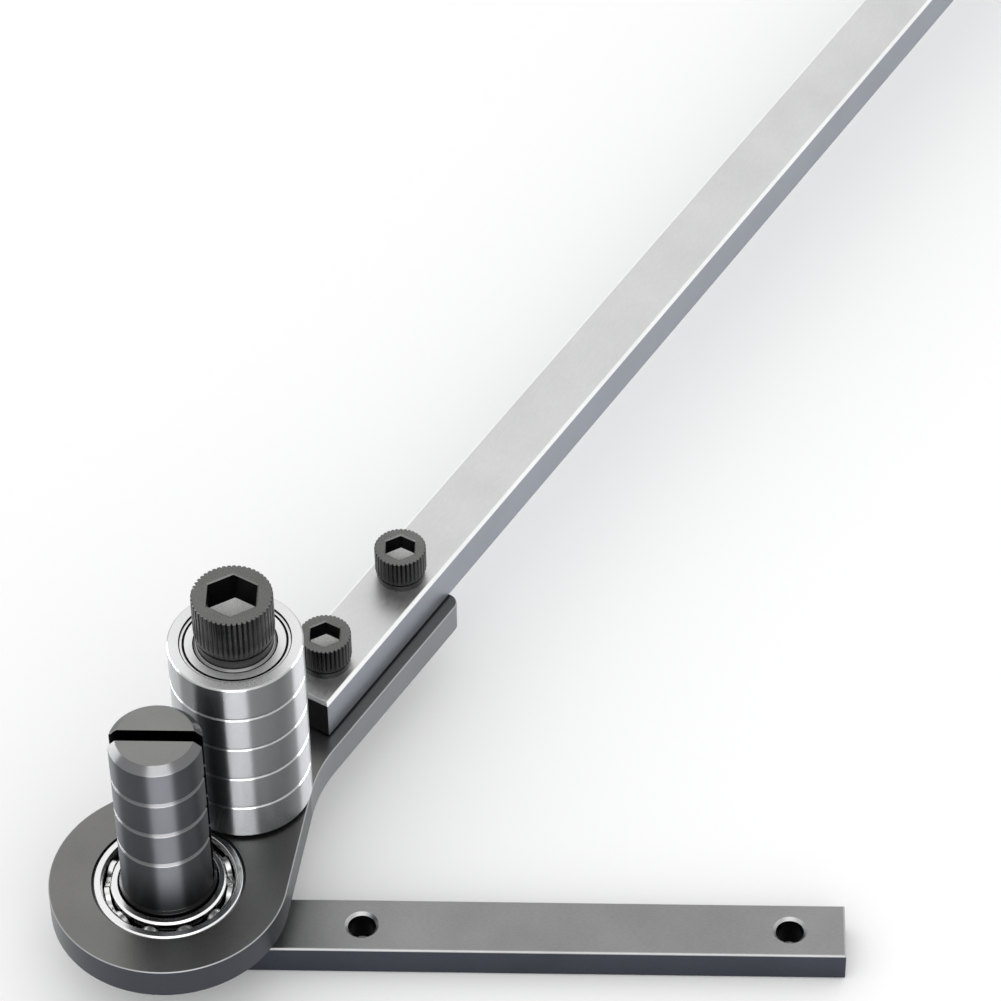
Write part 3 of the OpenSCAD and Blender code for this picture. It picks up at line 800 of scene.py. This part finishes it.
# The studio: a white paper floor that keeps the tool's soft shadow, an even white surround and
# one broad softbox. Low strips round the tool draw bright lines down its turned steel.
tool_middle = (30 * mm, 30 * mm, 50 * mm)
strip_middle = 50 * mm
strip_height = 60 * mm
strip_distance = 0.6
post_aim = (0, 0, strip_middle)
roller_aim = (roller_axis.x, roller_axis.y, strip_middle)
# What the surround lights the tool with, and the white that the camera and the gloss see
surround_light = 1.0
surround_white = 1.0
floor_size = 30.0
floor_drop = 0.1 * mm


# A lamp that stands at a compass angle and a height angle from what it aims at. With pieces
# given, it is a reflector that shows only as a gleam on those pieces.
def softbox(name, azimuth, elevation, distance, width, height, watts, aim, pieces=()):
    light = bpy.data.lights.new(name, "AREA")
    light.shape = "RECTANGLE"
    light.size = width
    light.size_y = height
    light.energy = watts
    a, e = math.radians(azimuth), math.radians(elevation)
    away = distance * Vector((math.sin(a) * math.cos(e), -math.cos(a) * math.cos(e), math.sin(e)))
    lamp = bpy.data.objects.new(name, light)
    if pieces:
        lamp.visible_diffuse = False
        lamp.visible_camera = False
        lit = bpy.data.collections.new(name + "_pieces")
        for piece in pieces:
            lit.objects.link(piece)
        lamp.light_linking.receiver_collection = lit
    facing = away.to_track_quat("Z", "Y").to_matrix().to_4x4()
    lamp.matrix_world = Matrix.Translation(Vector(aim) + away) @ facing
    bpy.context.scene.collection.objects.link(lamp)


softbox("front_softbox", azimuth=8.7, elevation=35, distance=1.4, width=1.4, height=1.0, watts=3,
        aim=tool_middle)
for name, azimuth, width, watts, aim, pieces in (
        ("front_strip", 10.4, 0.55, 9, post_aim, [post, roller_screw]),
        ("roller_strip", 0.9, 0.35, 5.1, roller_aim, chromed_rings),
        ("right_strip", 108, 0.35, 6.5, roller_aim, chromed_rings),
        ("left_strip", -110, 0.5, 4.2, post_aim, [post, roller_screw] + chromed_rings)):
    softbox(name, azimuth, 0, strip_distance, width, strip_height, watts, aim, pieces)

world = bpy.data.worlds.new("white_surround")
bpy.context.scene.world = world
world.use_nodes = True
tree = world.node_tree
tree.nodes.clear()
rays = add_node(tree, "ShaderNodeLightPath").outputs
seen = calculate(tree, "MAXIMUM", rays["Is Camera Ray"], rays["Is Glossy Ray"])
shown = calculate(tree, "MAXIMUM", seen, rays["Is Transmission Ray"])
fill = add_node(tree, "ShaderNodeBackground", {"Color": (1, 1, 1, 1), "Strength": surround_light})
white = add_node(tree, "ShaderNodeBackground", {"Color": (1, 1, 1, 1), "Strength": surround_white})
mixed = add_node(tree, "ShaderNodeMixShader", {0: shown, 1: fill.outputs[0], 2: white.outputs[0]})
add_node(tree, "ShaderNodeOutputWorld", {0: mixed.outputs[0]})

bpy.ops.mesh.primitive_grid_add(x_subdivisions=4, y_subdivisions=4, size=floor_size)
floor = bpy.context.object
floor.name = "paper_floor"
floor.location.z = -floor_drop
paper = bpy.data.materials.new("white_paper")
paper.use_nodes = True
paper_shader = paper.node_tree.nodes["Principled BSDF"]
paper_shader.inputs["Base Color"].default_value = (0.97, 0.97, 0.97, 1)
paper_shader.inputs["Roughness"].default_value = 0.9
paper_shader.inputs["Specular IOR Level"].default_value = 0.2
floor.data.materials.append(paper)
